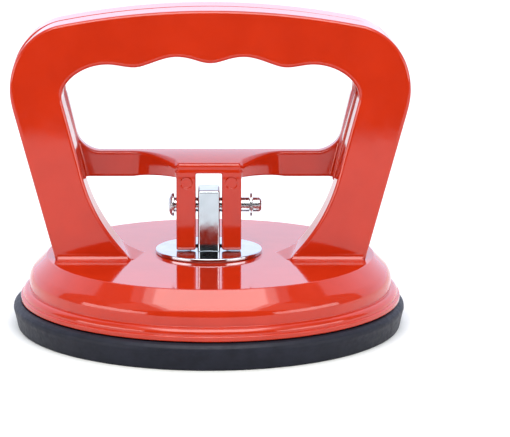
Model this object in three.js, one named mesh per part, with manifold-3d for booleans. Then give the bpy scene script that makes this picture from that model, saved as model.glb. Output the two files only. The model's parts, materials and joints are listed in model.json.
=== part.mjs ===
// A hand-held vacuum suction cup. A die-cast body carries a fixed D handle. A matching lever stands behind
// it and turns on a pin through an eye stud. The lever's two cam feet bear on a wear washer, so closing the
// lever lifts the stud and, with it, the middle of the rubber suction pad.
// Millimetres, +Z up, front towards -Y. The origin is the centre of the pad's rest plane.
import * as THREE from 'three';
import { mergeVertices } from 'three/addons/utils/BufferGeometryUtils.js';
import Module from 'manifold-3d';

const wasm = await Module();
wasm.setup();

// ---------------------------------------------------------------- driving dimensions

// Suction pad, a moulded rubber disc with a flat sealing land and a raised middle
const PAD_RADIUS = 59;
const PAD_FOOT_RADIUS = 57.5;
const PAD_TOP = 7.8;
const PAD_LAND_RADIUS = 45;
const PAD_LIFT = 4.5;

// Body casting: a shallow dome with a stepped flange, hollow underneath
const FLANGE_RADIUS = 57.2;
const FLANGE_BOTTOM = 8.1;
const TOP_RADIUS = 49.2;
const BASE_TOP = 21.4;
const WALL = 3.2;
const BORE_RADIUS = 6.8;
const BOSS_RADIUS = 11;
const BOSS_BOTTOM = 13;
const RIB_COUNT = 8;
const RIB_THICKNESS = 2.4;
const RIB_BOTTOM = 14.2;

// Both handles share one D outline. Its heights are measured from the top of the base
const HANDLE_TOP = 74.3;
const HANDLE_HALF_WIDTH = 58.85;
const HANDLE_DEPTH = 11.9;
const HANDLE_FRONT = -11.5;
const HANDLE_EDGE = 1.0;
const HANDLE_ROOT = -2.6;
const HANDLE_GAP = 0.5;
const FOOT_FILLET = 1.75;
const FOOT_INNER = 24.5;
const FOOT_OUTER = 46.1;
const LEG_SLOPE = 0.2663;
const LEG_TOP = 44;
const SHOULDER_DROP = 4.25;
const INNER_LEG = 38.5;
const INNER_LEG_HEIGHT = 28;
const INNER_SLOPE = 0.2258;
const GRIP_MIDDLE = 58.8;

// Shallow pockets in the two faces that the handles turn to each other
const POCKET_WALL = 2.7;
const POCKET_DEPTH = 1.6;
const POCKETS_PER_HALF = 6;
const BODY_POCKET_BOTTOM = 13;
const LEVER_POCKET_BOTTOM = 24;

// Lever: the D closed by a crossbar with a forked centre post
const LEVER_FRONT = HANDLE_FRONT + HANDLE_DEPTH + HANDLE_GAP;
const LEVER_BACK = LEVER_FRONT + HANDLE_DEPTH;
const ARM_BOTTOM = 21.8;
const BAR_BOTTOM = 22.2;
const BAR_TOP = 29.5;
const BAR_FRONT = 8;
const BAR_CORNER = 6;
const BAR_EDGE = 0.8;
const BAR_HALF_WIDTH = 39.4;
const BAR_BEND = 27;
const POST_HALF_WIDTH = 9.7;
const POST_FRONT = -5.5;
const POST_BACK = 8.2;
const SLOT_HALF_WIDTH = 3.9;
const SLOT_TOP = 25;
const EJECTOR_RADIUS = 1.8;
const EJECTOR_OFFSET = 6.7;
const EJECTOR_HEIGHT = 22.2;

// Cam: the stud drops by CAM_TRAVEL while the lever opens by CAM_ANGLE
const PIN_HEIGHT = 14.6;
const CAM_TRAVEL = 4;
const CAM_ANGLE = THREE.MathUtils.degToRad(65);
const CAM_CLEARANCE = 0.3;

// Pivot pin and its retaining clip
const PIN_RADIUS = 2.15;
const PIN_HOLE_RADIUS = 2.4;
const PIN_HEAD_RADIUS = 3.45;
const PIN_HEAD_INNER = -10.4;
const PIN_HEAD_THICKNESS = 1.85;
const PIN_END = 15.8;
const CLIP_POSITION = 12.7;
const CLIP_THICKNESS = 0.6;
const CLIP_RADIUS = 3.45;
const GROOVE_RADIUS = 1.6;
const GROOVE_WIDTH = 1.0;

// Wear washer, eye stud and the steel plate that the pad is moulded to
const WASHER_RADIUS = 16;
const WASHER_HOLE_RADIUS = 6.6;
const WASHER_THICKNESS = 1.2;
const WASHER_LIFT = 0.05;
const STUD_RADIUS = 5.5;
const LUG_HALF_THICKNESS = 3.25;
const LUG_BOTTOM = 19;
const LUG_EDGE = 0.7;
const SHANK_TOP = 22;
const PLATE_RADIUS = 26;
const PLATE_BOTTOM = 8.5;
const PLATE_TOP = 11;
const PLATE_KEYS = 6;
const PLATE_KEY_CIRCLE = 17;
const PLATE_KEY_RADIUS = 2.2;
const RIVET_RADIUS = 3.4;
const RIVET_FLARE = 4.6;
const FIT_GAP = 0.3;

// The stud and all that hangs on it stand this far to one side, inside the bore's clearance
const SIDE_PLAY = -0.45;

const ROUND_STEPS = 64;
const SMALL_ROUND_STEPS = 24;
const CURVE_STEPS = 7;

const paint = new THREE.MeshStandardMaterial({ color: '#e0401f', roughness: 0.22, metalness: 0 });
const chrome = new THREE.MeshStandardMaterial({ color: '#d6d9e0', roughness: 0.12, metalness: 1 });
const steel = new THREE.MeshStandardMaterial({ color: '#9a9ca0', roughness: 0.35, metalness: 1 });
const zinc = new THREE.MeshStandardMaterial({ color: '#b8b4a4', roughness: 0.3, metalness: 1 });
const rubber = new THREE.MeshStandardMaterial({ color: '#2d2f3c', roughness: 0.6, metalness: 0 });

// ---------------------------------------------------------------- solids

function toSolid(geometry) {
  const bare = geometry.clone();
  bare.deleteAttribute('normal');
  bare.deleteAttribute('uv');
  const merged = mergeVertices(bare, 1e-4);
  const vertProperties = new Float32Array(merged.attributes.position.array);
  const triVerts = new Uint32Array(merged.index.array);
  return new wasm.Manifold(new wasm.Mesh({ numProp: 3, vertProperties, triVerts }));
}

function toGeometry(solid) {
  const mesh = solid.getMesh();
  const geometry = new THREE.BufferGeometry();
  geometry.setAttribute('position', new THREE.BufferAttribute(mesh.vertProperties, 3));
  geometry.setIndex(new THREE.BufferAttribute(mesh.triVerts, 1));
  geometry.computeVertexNormals();
  return geometry;
}

function joined(solids) {
  return solids.reduce((whole, next) => whole.add(next));
}

function without(solid, cuts) {
  return cuts.reduce((rest, cut) => rest.subtract(cut), solid);
}

function named(name, geometry, material) {
  const mesh = new THREE.Mesh(geometry, material);
  mesh.name = name;
  return mesh;
}

// A profile of [radius, z] pairs, anticlockwise with the radius to the right, turned about the Z axis
function turned(profile, steps = ROUND_STEPS) {
  const points = [...profile, profile[0]].map(([radius, z]) => new THREE.Vector2(radius, z));
  return new THREE.LatheGeometry(points, steps).rotateX(Math.PI / 2);
}

// The same about the X axis: each pair is [radius, x]
function turnedAlongX(profile, steps = SMALL_ROUND_STEPS) {
  return turned(profile, steps).rotateY(Math.PI / 2);
}

function box(xRange, yRange, zRange) {
  const spans = [xRange, yRange, zRange];
  const size = spans.map(([low, high]) => high - low);
  const centre = spans.map(([low, high]) => (low + high) / 2);
  return toSolid(new THREE.BoxGeometry(...size).translate(...centre));
}

// A shape drawn as (x, z) and given depth along Y, from front to back, with optional rounded edges
function plate(shape, front, back, edge = 0) {
  const geometry = new THREE.ExtrudeGeometry(shape, {
    depth: back - front - 2 * edge,
    curveSegments: CURVE_STEPS,
    bevelEnabled: edge > 0,
    bevelThickness: edge,
    bevelSize: edge,
    bevelOffset: -edge,
    bevelSegments: 2,
  });
  return toSolid(geometry.rotateX(Math.PI / 2).translate(0, back - edge, 0));
}

// A shape drawn as (x, y) and given height along Z
function slab(shape, bottom, top, edge = 0) {
  const geometry = new THREE.ExtrudeGeometry(shape, {
    depth: top - bottom - 2 * edge,
    curveSegments: CURVE_STEPS,
    bevelEnabled: edge > 0,
    bevelThickness: edge,
    bevelSize: edge,
    bevelOffset: -edge,
    bevelSegments: 2,
  });
  return toSolid(geometry.translate(0, 0, bottom + edge));
}

// A shape drawn as (y, z) and given width along X
function sidePlate(shape, left, right, edge = 0) {
  const geometry = new THREE.ExtrudeGeometry(shape, {
    depth: right - left - 2 * edge,
    curveSegments: CURVE_STEPS,
    bevelEnabled: edge > 0,
    bevelThickness: edge,
    bevelSize: edge,
    bevelOffset: -edge,
    bevelSegments: 2,
  });
  geometry.rotateX(Math.PI / 2).rotateZ(Math.PI / 2);
  return toSolid(geometry.translate(left + edge, 0, 0));
}

function crossHole(radius, left, right, height) {
  const geometry = turnedAlongX([[0, left], [radius, left], [radius, right], [0, right]]);
  return toSolid(geometry.translate(0, 0, height));
}

// ---------------------------------------------------------------- the shared D outline

// Where the straight stretches of a leg's two edges lie at a height above the base
function legOuterX(height) {
  return FOOT_OUTER + LEG_SLOPE * height;
}

function legInnerX(height) {
  return INNER_LEG + INNER_SLOPE * (height - INNER_LEG_HEIGHT);
}

// Right-hand half of the outer edge, from the middle of the grip down to the leg
function outerHalf() {
  const path = new THREE.Path();
  path.moveTo(0, HANDLE_TOP);
  path.quadraticCurveTo(22, HANDLE_TOP, 44, HANDLE_TOP - SHOULDER_DROP);
  path.bezierCurveTo(51.9, 68.5, HANDLE_HALF_WIDTH, 61.5, HANDLE_HALF_WIDTH, 50.5);
  path.quadraticCurveTo(HANDLE_HALF_WIDTH, 47.9, legOuterX(LEG_TOP), LEG_TOP);
  return path;
}

// Right-hand half of the inner edge: two finger scallops, the upper corner and the top of the leg
function innerHalf() {
  const path = new THREE.Path();
  path.moveTo(0, GRIP_MIDDLE);
  path.bezierCurveTo(3.2, GRIP_MIDDLE, 5.5, 60.65, 9.9, 60.65);
  path.bezierCurveTo(14.4, 60.65, 19, 57.55, 22.4, 57.55);
  path.bezierCurveTo(25, 57.55, 27.5, 58.4, 30.2, 58.4);
  path.bezierCurveTo(38, 58.4, 44.7, 52.7, 43.5, 47.5);
  path.lineTo(INNER_LEG, INNER_LEG_HEIGHT);
  return path;
}

function mirrored(points) {
  return points.map((point) => new THREE.Vector2(-point.x, point.y)).reverse();
}

// Points of a half outline, joined to their mirror image across the middle of the grip
function bothHalves(halfPoints) {
  return [...mirrored(halfPoints), ...halfPoints.slice(1)];
}

// The fixed handle's outline: the legs flare inwards at the bottom and run down into the base
function fixedOutline() {
  const footTip = 19;
  const outer = outerHalf();
  outer.lineTo(legOuterX(HANDLE_ROOT), HANDLE_ROOT);
  const inner = innerHalf();
  inner.bezierCurveTo(35, 13, 27, 0, footTip, -0.2);
  inner.lineTo(footTip, HANDLE_ROOT);
  const outerPoints = bothHalves(outer.getPoints(CURVE_STEPS));
  const innerPoints = bothHalves(inner.getPoints(CURVE_STEPS));
  return new THREE.Shape([...outerPoints.reverse(), ...innerPoints]);
}

// The lever's outline is the same D with its arms cut off at the crossbar
function armOutline() {
  const cornerHeight = 2.2;
  const cornerWidth = 2.9;
  const cornerX = legOuterX(ARM_BOTTOM);
  const outer = outerHalf();
  outer.lineTo(legOuterX(ARM_BOTTOM + cornerHeight), ARM_BOTTOM + cornerHeight);
  outer.quadraticCurveTo(cornerX, ARM_BOTTOM, cornerX - cornerWidth, ARM_BOTTOM);
  const inner = innerHalf();
  inner.lineTo(legInnerX(ARM_BOTTOM), ARM_BOTTOM);
  const outerPoints = bothHalves(outer.getPoints(CURVE_STEPS));
  const innerPoints = bothHalves(inner.getPoints(CURVE_STEPS));
  return new THREE.Shape([...outerPoints.reverse(), ...innerPoints]);
}

// Pocket outlines: the band between the two edges, inset by the wall and divided by cross ribs
function pocketOutlines(lowest) {
  const outer = outerHalf();
  outer.lineTo(legOuterX(lowest), lowest);
  const inner = innerHalf();
  inner.lineTo(legInnerX(lowest), lowest);
  const stepsPerPocket = 8;
  const steps = POCKETS_PER_HALF * stepsPerPocket;
  const rungs = [];
  for (let step = 0; step <= steps; step += 1) {
    const a = outer.getPointAt(step / steps);
    const b = inner.getPointAt(step / steps);
    const across = b.clone().sub(a).normalize().multiplyScalar(POCKET_WALL);
    rungs.push([a.clone().add(across), b.clone().sub(across)]);
  }
  const shapes = [];
  for (let pocket = 0; pocket < POCKETS_PER_HALF; pocket += 1) {
    const start = pocket * stepsPerPocket + 1;
    const group = rungs.slice(start, start + stepsPerPocket - 1);
    const right = [...group.map((rung) => rung[0]), ...group.map((rung) => rung[1]).reverse()];
    shapes.push(new THREE.Shape(right), new THREE.Shape(mirrored(right)));
  }
  return shapes;
}

// ---------------------------------------------------------------- body casting

function baseShell() {
  const underside = BASE_TOP - WALL;
  return toSolid(turned([
    [FLANGE_RADIUS - 0.4, FLANGE_BOTTOM],
    [FLANGE_RADIUS, FLANGE_BOTTOM + 0.4],
    [FLANGE_RADIUS, 9.6],
    [FLANGE_RADIUS - 0.4, 9.95],
    [56.3, 10.2],
    [56.3, 11.2],
    [55.8, 11.65],
    [54.5, 11.8],
    [54.5, 14],
    [54.2, 14.9],
    [53.5, 16.5],
    [52.4, 18.4],
    [51.1, 20],
    [TOP_RADIUS + 0.6, 21.1],
    [TOP_RADIUS - 0.4, BASE_TOP],
    [BORE_RADIUS, BASE_TOP],
    [BORE_RADIUS, BOSS_BOTTOM],
    [BOSS_RADIUS - 1, BOSS_BOTTOM],
    [BOSS_RADIUS, BOSS_BOTTOM + 1],
    [BOSS_RADIUS + 0.5, underside - 1],
    [BOSS_RADIUS + 1.5, underside],
    [46.6, underside],
    [49.2, 16],
    [51.4, 12],
    [51.4, FLANGE_BOTTOM],
  ]));
}

function undersideRibs() {
  const ribs = [];
  for (let index = 0; index < RIB_COUNT; index += 1) {
    const inner = BOSS_RADIUS - 1;
    const length = 49.6 - inner;
    const height = BASE_TOP - 1 - RIB_BOTTOM;
    const rib = new THREE.BoxGeometry(length, RIB_THICKNESS, height);
    rib.translate(inner + length / 2, 0, RIB_BOTTOM + height / 2);
    rib.rotateZ(((index + 0.5) * 2 * Math.PI) / RIB_COUNT);
    ribs.push(toSolid(rib));
  }
  return joined(ribs);
}

// A concave fillet along the front and back of each foot, sunk a little into the foot and the base
function footFillets() {
  const sink = 0.4;
  const section = new THREE.Shape();
  section.moveTo(sink, -sink);
  section.lineTo(sink, FOOT_FILLET);
  section.lineTo(0, FOOT_FILLET);
  section.absarc(-FOOT_FILLET, FOOT_FILLET, FOOT_FILLET, 0, -Math.PI / 2, true);
  section.lineTo(-FOOT_FILLET, -sink);
  const front = sidePlate(section, FOOT_INNER, FOOT_OUTER - 0.6);
  const placedFront = front.translate([0, HANDLE_FRONT, BASE_TOP]);
  const placedBack = front.mirror([0, 1, 0]).translate([0, HANDLE_FRONT + HANDLE_DEPTH, BASE_TOP]);
  const right = placedFront.add(placedBack);
  return right.add(right.mirror([1, 0, 0]));
}

function bodyCasting() {
  const back = HANDLE_FRONT + HANDLE_DEPTH;
  const handle = plate(fixedOutline(), HANDLE_FRONT, back, HANDLE_EDGE).translate([0, 0, BASE_TOP]);
  const pockets = pocketOutlines(BODY_POCKET_BOTTOM).map((shape) =>
    plate(shape, back - POCKET_DEPTH, back + 1).translate([0, 0, BASE_TOP]));
  const solid = joined([baseShell(), undersideRibs(), without(handle, pockets), footFillets()]);
  return named('body_casting', toGeometry(solid), paint);
}

// ---------------------------------------------------------------- lever

// Cam foot seen from the side, as (y, z) from the pin: its contour is the involute that keeps a straight
// ratio between the lever's angle and the stud's drop
function footOutline() {
  const reach = PIN_HEIGHT - WASHER_THICKNESS - WASHER_LIFT - CAM_CLEARANCE;
  const rate = CAM_TRAVEL / CAM_ANGLE;
  const shape = new THREE.Shape();
  shape.moveTo(POST_FRONT, BAR_TOP - PIN_HEIGHT - 2);
  shape.lineTo(POST_FRONT, -reach + 1);
  shape.lineTo(POST_FRONT + 0.3, -reach + 0.3);
  shape.lineTo(POST_FRONT + 1, -reach);
  const steps = 12;
  for (let step = 0; step <= steps; step += 1) {
    const angle = (CAM_ANGLE * step) / steps;
    const support = reach - rate * angle;
    const y = support * Math.sin(angle) - rate * Math.cos(angle);
    const z = -support * Math.cos(angle) - rate * Math.sin(angle);
    shape.lineTo(y, z);
  }
  shape.lineTo(POST_BACK, -4.2);
  shape.lineTo(POST_BACK, BAR_TOP - PIN_HEIGHT - 2);
  return shape;
}

// Crossbar seen from above: straight where it meets the arms, swept forward to the post
function barOutline() {
  const sweep = 20.5;
  const cornerX = POST_HALF_WIDTH - 0.5;
  const cornerY = POST_FRONT + 0.7;
  const shape = new THREE.Shape();
  shape.moveTo(-BAR_HALF_WIDTH, LEVER_BACK);
  shape.lineTo(-BAR_HALF_WIDTH, BAR_FRONT);
  shape.lineTo(-BAR_BEND, BAR_FRONT);
  shape.quadraticCurveTo(-sweep, BAR_FRONT, -POST_HALF_WIDTH, cornerY);
  shape.lineTo(-cornerX, POST_FRONT);
  shape.lineTo(cornerX, POST_FRONT);
  shape.lineTo(POST_HALF_WIDTH, cornerY);
  shape.quadraticCurveTo(sweep, BAR_FRONT, BAR_BEND, BAR_FRONT);
  shape.lineTo(BAR_HALF_WIDTH, BAR_FRONT);
  shape.lineTo(BAR_HALF_WIDTH, LEVER_BACK);
  return shape;
}

// The rounded inner corner between an arm and the crossbar
function barCorner() {
  const shape = new THREE.Shape();
  shape.moveTo(42, BAR_TOP - 3);
  shape.lineTo(42, BAR_TOP + BAR_CORNER);
  shape.lineTo(40.4, BAR_TOP + BAR_CORNER);
  shape.bezierCurveTo(39.9, BAR_TOP + 3.1, 37.2, BAR_TOP + 0.2, 32.4, BAR_TOP);
  shape.lineTo(32.4, BAR_TOP - 3);
  const corner = plate(shape, BAR_FRONT, LEVER_BACK, BAR_EDGE);
  return corner.add(corner.mirror([1, 0, 0]));
}

function leverHandle() {
  const frame = plate(armOutline(), LEVER_FRONT, LEVER_BACK, HANDLE_EDGE);
  const pockets = pocketOutlines(LEVER_POCKET_BOTTOM).map((shape) =>
    plate(shape, LEVER_FRONT - 1, LEVER_FRONT + POCKET_DEPTH));
  const bar = slab(barOutline(), BAR_BOTTOM, BAR_TOP, BAR_EDGE);
  const post = sidePlate(footOutline(), -POST_HALF_WIDTH, POST_HALF_WIDTH).translate([0, 0, PIN_HEIGHT]);
  const slot = box([-SLOT_HALF_WIDTH, SLOT_HALF_WIDTH], [POST_FRONT - 5, LEVER_BACK + 5], [-5, SLOT_TOP]);
  const hole = crossHole(PIN_HOLE_RADIUS, -POST_HALF_WIDTH - 5, POST_HALF_WIDTH + 5, PIN_HEIGHT);
  const marks = [-1, 1].map((side) => {
    const mark = new THREE.CylinderGeometry(EJECTOR_RADIUS, EJECTOR_RADIUS, 0.4, SMALL_ROUND_STEPS);
    return toSolid(mark.translate(side * EJECTOR_OFFSET, POST_FRONT, EJECTOR_HEIGHT));
  });
  const whole = joined([without(frame, pockets), bar, barCorner(), post]);
  const solid = without(whole, [slot, hole, ...marks]).translate([0, 0, BASE_TOP]);
  return named('lever_handle', toGeometry(solid), paint);
}

// ---------------------------------------------------------------- stud, pin, clip and washer

function eyeStud() {
  const pinZ = BASE_TOP + PIN_HEIGHT;
  const shank = toSolid(turned([
    [0, PLATE_BOTTOM],
    [RIVET_FLARE - FIT_GAP, PLATE_BOTTOM],
    [RIVET_RADIUS, PLATE_BOTTOM + 1.2],
    [RIVET_RADIUS, PLATE_TOP],
    [STUD_RADIUS, PLATE_TOP],
    [STUD_RADIUS, SHANK_TOP],
    [0, SHANK_TOP],
  ], 48));
  const outline = new THREE.Shape();
  outline.moveTo(-STUD_RADIUS, LUG_BOTTOM);
  outline.lineTo(STUD_RADIUS, LUG_BOTTOM);
  outline.absarc(0, pinZ, STUD_RADIUS, 0, Math.PI, false);
  const lug = sidePlate(outline, -LUG_HALF_THICKNESS, LUG_HALF_THICKNESS, LUG_EDGE);
  const hole = crossHole(PIN_HOLE_RADIUS, -10, 10, pinZ);
  const solid = without(shank.add(lug), [hole]);
  return named('eye_stud', toGeometry(solid), chrome);
}

function pivotPin() {
  const headOuter = PIN_HEAD_INNER - PIN_HEAD_THICKNESS;
  const grooveStart = CLIP_POSITION - GROOVE_WIDTH / 2;
  const grooveEnd = CLIP_POSITION + GROOVE_WIDTH / 2;
  const geometry = turnedAlongX([
    [0, headOuter],
    [1.6, headOuter + 0.2],
    [2.7, headOuter + 0.6],
    [PIN_HEAD_RADIUS, headOuter + 1.2],
    [PIN_HEAD_RADIUS, PIN_HEAD_INNER],
    [PIN_RADIUS, PIN_HEAD_INNER],
    [PIN_RADIUS, grooveStart],
    [GROOVE_RADIUS, grooveStart],
    [GROOVE_RADIUS, grooveEnd],
    [PIN_RADIUS, grooveEnd],
    [PIN_RADIUS, PIN_END - 0.6],
    [PIN_RADIUS - 0.6, PIN_END],
    [0, PIN_END],
  ]);
  geometry.translate(0, 0, BASE_TOP + PIN_HEIGHT);
  return named('pivot_pin', toGeometry(toSolid(geometry)), zinc);
}

// E-clip: an open ring with three inward lobes that seat in the pin's groove
function pinClip() {
  const seat = GROOVE_RADIUS + 0.15;
  const relief = PIN_RADIUS + 0.35;
  const mouth = THREE.MathUtils.degToRad(35);
  const lobe = THREE.MathUtils.degToRad(16);
  const shape = new THREE.Shape();
  shape.absarc(0, 0, CLIP_RADIUS, mouth, 2 * Math.PI - mouth, false);
  const lobeCentres = [2 * Math.PI - mouth - lobe / 2, Math.PI, mouth + lobe / 2];
  lobeCentres.forEach((centre, index) => {
    shape.absarc(0, 0, seat, centre + lobe / 2, centre - lobe / 2, true);
    if (index < lobeCentres.length - 1) {
      const next = lobeCentres[index + 1];
      shape.absarc(0, 0, relief, centre - lobe / 2 - 0.1, next + lobe / 2 + 0.1, true);
    }
  });
  const half = CLIP_THICKNESS / 2;
  const geometry = new THREE.ExtrudeGeometry(shape, {
    depth: CLIP_THICKNESS,
    curveSegments: 14,
    bevelEnabled: false,
  });
  geometry.translate(0, 0, -half).rotateY(Math.PI / 2).rotateX(Math.PI / 2);
  geometry.translate(CLIP_POSITION, 0, BASE_TOP + PIN_HEIGHT);
  return named('pin_clip', toGeometry(toSolid(geometry)), zinc);
}

function wearWasher() {
  const bottom = BASE_TOP + WASHER_LIFT;
  const top = bottom + WASHER_THICKNESS;
  const edge = 0.25;
  const geometry = turned([
    [WASHER_HOLE_RADIUS, bottom],
    [WASHER_RADIUS - edge, bottom],
    [WASHER_RADIUS, bottom + edge],
    [WASHER_RADIUS, top - edge],
    [WASHER_RADIUS - edge, top],
    [WASHER_HOLE_RADIUS, top],
  ], 64);
  return named('wear_washer', toGeometry(toSolid(geometry)), chrome);
}

// ---------------------------------------------------------------- pad and its insert plate

function keyPositions() {
  const positions = [];
  for (let index = 0; index < PLATE_KEYS; index += 1) {
    const angle = (index * 2 * Math.PI) / PLATE_KEYS;
    positions.push([PLATE_KEY_CIRCLE * Math.cos(angle), PLATE_KEY_CIRCLE * Math.sin(angle)]);
  }
  return positions;
}

function keyPosts(radius, bottom, top) {
  return keyPositions().map(([x, y]) => {
    const post = new THREE.CylinderGeometry(radius, radius, top - bottom, 16).rotateX(Math.PI / 2);
    return toSolid(post.translate(x, y, (bottom + top) / 2));
  });
}

function insertPlate() {
  const disc = toSolid(turned([
    [RIVET_FLARE, PLATE_BOTTOM],
    [PLATE_RADIUS - 0.4, PLATE_BOTTOM],
    [PLATE_RADIUS, PLATE_BOTTOM + 0.4],
    [PLATE_RADIUS, PLATE_TOP - 0.4],
    [PLATE_RADIUS - 0.4, PLATE_TOP],
    [RIVET_RADIUS + FIT_GAP, PLATE_TOP],
    [RIVET_RADIUS + FIT_GAP, PLATE_BOTTOM + 1.2],
  ], 64));
  const solid = without(disc, keyPosts(PLATE_KEY_RADIUS, PLATE_BOTTOM - 1, PLATE_TOP + 1));
  return named('insert_plate', toGeometry(solid), steel);
}

function suctionPad() {
  const recess = PLATE_BOTTOM - FIT_GAP;
  const lip = PLATE_RADIUS + FIT_GAP;
  const disc = toSolid(turned([
    [0, PAD_LIFT],
    [PLATE_RADIUS, PAD_LIFT],
    [31, 3.9],
    [36, 2.3],
    [40, 0.9],
    [PAD_LAND_RADIUS, 0],
    [PAD_FOOT_RADIUS, 0],
    [PAD_FOOT_RADIUS + 0.3, 0.4],
    [58.7, 4.6],
    [PAD_RADIUS, 5.6],
    [PAD_RADIUS - 0.2, 6.6],
    [PAD_RADIUS - 1, 7.4],
    [PAD_RADIUS - 2, PAD_TOP],
    [51, PAD_TOP],
    [49.5, 5.6],
    [46, 4.6],
    [41, 5.2],
    [34, 8.6],
    [30, 10],
    [lip, 10],
    [lip, recess],
    [0, recess],
  ]));
  const keys = keyPosts(PLATE_KEY_RADIUS - FIT_GAP, recess - 1, PLATE_TOP - 0.5);
  return named('suction_pad', toGeometry(joined([disc, ...keys])), rubber);
}

// ---------------------------------------------------------------- assembly

const studParts = new THREE.Group();
studParts.add(eyeStud(), insertPlate(), pivotPin(), pinClip());

const hungParts = new THREE.Group();
hungParts.position.x = SIDE_PLAY;
hungParts.add(studParts, leverHandle(), wearWasher(), suctionPad());

const group = new THREE.Group();
group.add(bodyCasting(), hungParts);

export default group;
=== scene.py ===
"""The looks of a hand-held vacuum suction cup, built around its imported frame.

The painted castings and the chrome eye stud are distance fields turned into meshes, so that every edge and
corner has the small radius of a real casting. The other pieces are turned or extruded. Shapes are in
millimetres, heights on the handles count from the top of the base, and the meshes are in metres.
"""
import json
import math

import bmesh
import bpy
import numpy as np
from mathutils import Matrix, Vector


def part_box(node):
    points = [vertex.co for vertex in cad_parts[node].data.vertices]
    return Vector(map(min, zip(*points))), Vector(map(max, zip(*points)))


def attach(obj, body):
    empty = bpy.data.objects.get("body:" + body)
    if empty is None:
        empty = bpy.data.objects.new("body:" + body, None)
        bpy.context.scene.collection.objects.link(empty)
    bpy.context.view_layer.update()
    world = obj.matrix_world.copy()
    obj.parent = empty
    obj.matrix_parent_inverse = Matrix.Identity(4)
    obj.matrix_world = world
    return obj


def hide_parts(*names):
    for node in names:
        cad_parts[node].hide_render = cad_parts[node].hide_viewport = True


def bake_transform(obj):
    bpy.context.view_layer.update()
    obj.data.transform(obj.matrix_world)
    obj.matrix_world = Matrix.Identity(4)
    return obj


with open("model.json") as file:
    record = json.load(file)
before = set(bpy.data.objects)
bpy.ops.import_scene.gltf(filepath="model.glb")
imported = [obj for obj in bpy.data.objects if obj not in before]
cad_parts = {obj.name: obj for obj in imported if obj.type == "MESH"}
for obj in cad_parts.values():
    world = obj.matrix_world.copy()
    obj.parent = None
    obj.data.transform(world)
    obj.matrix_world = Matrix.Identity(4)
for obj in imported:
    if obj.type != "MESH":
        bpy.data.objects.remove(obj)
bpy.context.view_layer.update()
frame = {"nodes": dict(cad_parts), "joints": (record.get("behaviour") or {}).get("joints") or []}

MM = 0.001


# ---------------------------------------------------------------- measures, most of them from the frame

def frame_box(node):
    """Lowest and highest corner of a CAD node, in millimetres."""
    low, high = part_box(node)
    return np.array(low) / MM, np.array(high) / MM


BODY_LOW, BODY_HIGH = frame_box("body_casting")
LEVER_LOW, LEVER_HIGH = frame_box("lever_handle")
WASHER_LOW, WASHER_HIGH = frame_box("wear_washer")
STUD_LOW, STUD_HIGH = frame_box("eye_stud")
PIN_LOW, PIN_HIGH = frame_box("pivot_pin")
CLIP_LOW, CLIP_HIGH = frame_box("pin_clip")
PAD_HIGH = frame_box("suction_pad")[1]
PLATE_LOW, PLATE_HIGH = frame_box("insert_plate")
lever_hinge = next(joint for joint in frame["joints"] if joint["name"] == "lever_hinge")

# The stud and all that hangs on it stand this far to one side of the body
SIDE_PLAY = lever_hinge["pos_m"][0] / MM
PIN_Z = lever_hinge["pos_m"][2] / MM

WASHER_GAP = 0.05
BASE_TOP = WASHER_LOW[2] - WASHER_GAP
FLANGE_RADIUS = BODY_HIGH[1]
FLANGE_BOTTOM = BODY_LOW[2]
TOP_RADIUS = 49.2
BAND_RADIUS = 54.5
BEAD_RADIUS = 56.5
BEAD_TOP = 11.8
WALL = 3.2
BORE_RADIUS = 6.8
BOSS_RADIUS = 11
BOSS_BOTTOM = 13
RIB_COUNT = 8
RIB_THICKNESS = 2.4
RIB_REACH = 50.2
RIB_BOTTOM = 14.2

HANDLE_TOP = BODY_HIGH[2] - BASE_TOP
HANDLE_HALF_WIDTH = BODY_HIGH[0]
HANDLE_DEPTH = 11.9
HANDLE_GAP = 0.5
LEVER_BACK = LEVER_HIGH[1]
LEVER_FRONT = LEVER_BACK - HANDLE_DEPTH
HANDLE_BACK = LEVER_FRONT - HANDLE_GAP
HANDLE_FRONT = HANDLE_BACK - HANDLE_DEPTH
HANDLE_EDGE = 1.0
GAP_EDGE = 0.5
HANDLE_ROOT = -2.6
FOOT_FILLET = 2.0
FOOT_FLARE = 3.4
FOOT_FLARE_LEAST = 0.8
FOOT_BURIED = 1.0
FOOT_MITRE = 0.9
FOOT_INNER = 23.4
FOOT_OUTER = 46.1
LEG_SLOPE = 0.2663
LEG_TOP = 44
INSIDE_LEG = 33
INNER_LEG = 38.5
INNER_LEG_HEIGHT = 28
INNER_SLOPE = 0.2258
GRIP_MIDDLE = 58.8
POCKET_WALL = 2.7
POCKET_DEPTH = 1.6
POCKET_DRAFT = 0.15
POCKET_FLOOR_EDGE = 0.6
POCKET_RIM_EDGE = 0.4
POCKETS_PER_HALF = 6

ARM_BOTTOM = 21.8
BAR_BOTTOM = 21.6
BAR_RISE = 1.9
BAR_TOP = 29.5
BAR_FRONT = 8
BAR_EDGE = 0.8
BAR_TOP_EDGE = 0.9
BAR_SWEPT_EDGE = 2.0
BAR_CORNER = 6
BAR_CROWN = 1.5
BAR_HALF_WIDTH = 44
BAR_BEND = 23
POST_HALF_WIDTH = 9.7
POST_FRONT = LEVER_LOW[1]
POST_BACK = 8.2
POST_EDGE = 0.35
POST_FILLET = 0.5
POST_SIDE_WIDTH = 0.8
BAR_FILLET = 0.8
SLOT_HALF_WIDTH = 3.9
SLOT_TOP = 25
SLOT_CORNER = 0.4
SLOT_EDGE = 0.7
CAM_TRAVEL = 4
CAM_ANGLE = math.radians(65)
CAM_GAP = 0.3
CAM_REACH = PIN_Z - WASHER_HIGH[2] - CAM_GAP
PIN_HOLE_RADIUS = 2.4
EJECTOR_RADIUS = 1.8
EJECTOR_OFFSET = 6.7
EJECTOR_HEIGHT = 22.2
EJECTOR_DEPTH = 0.22

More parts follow.
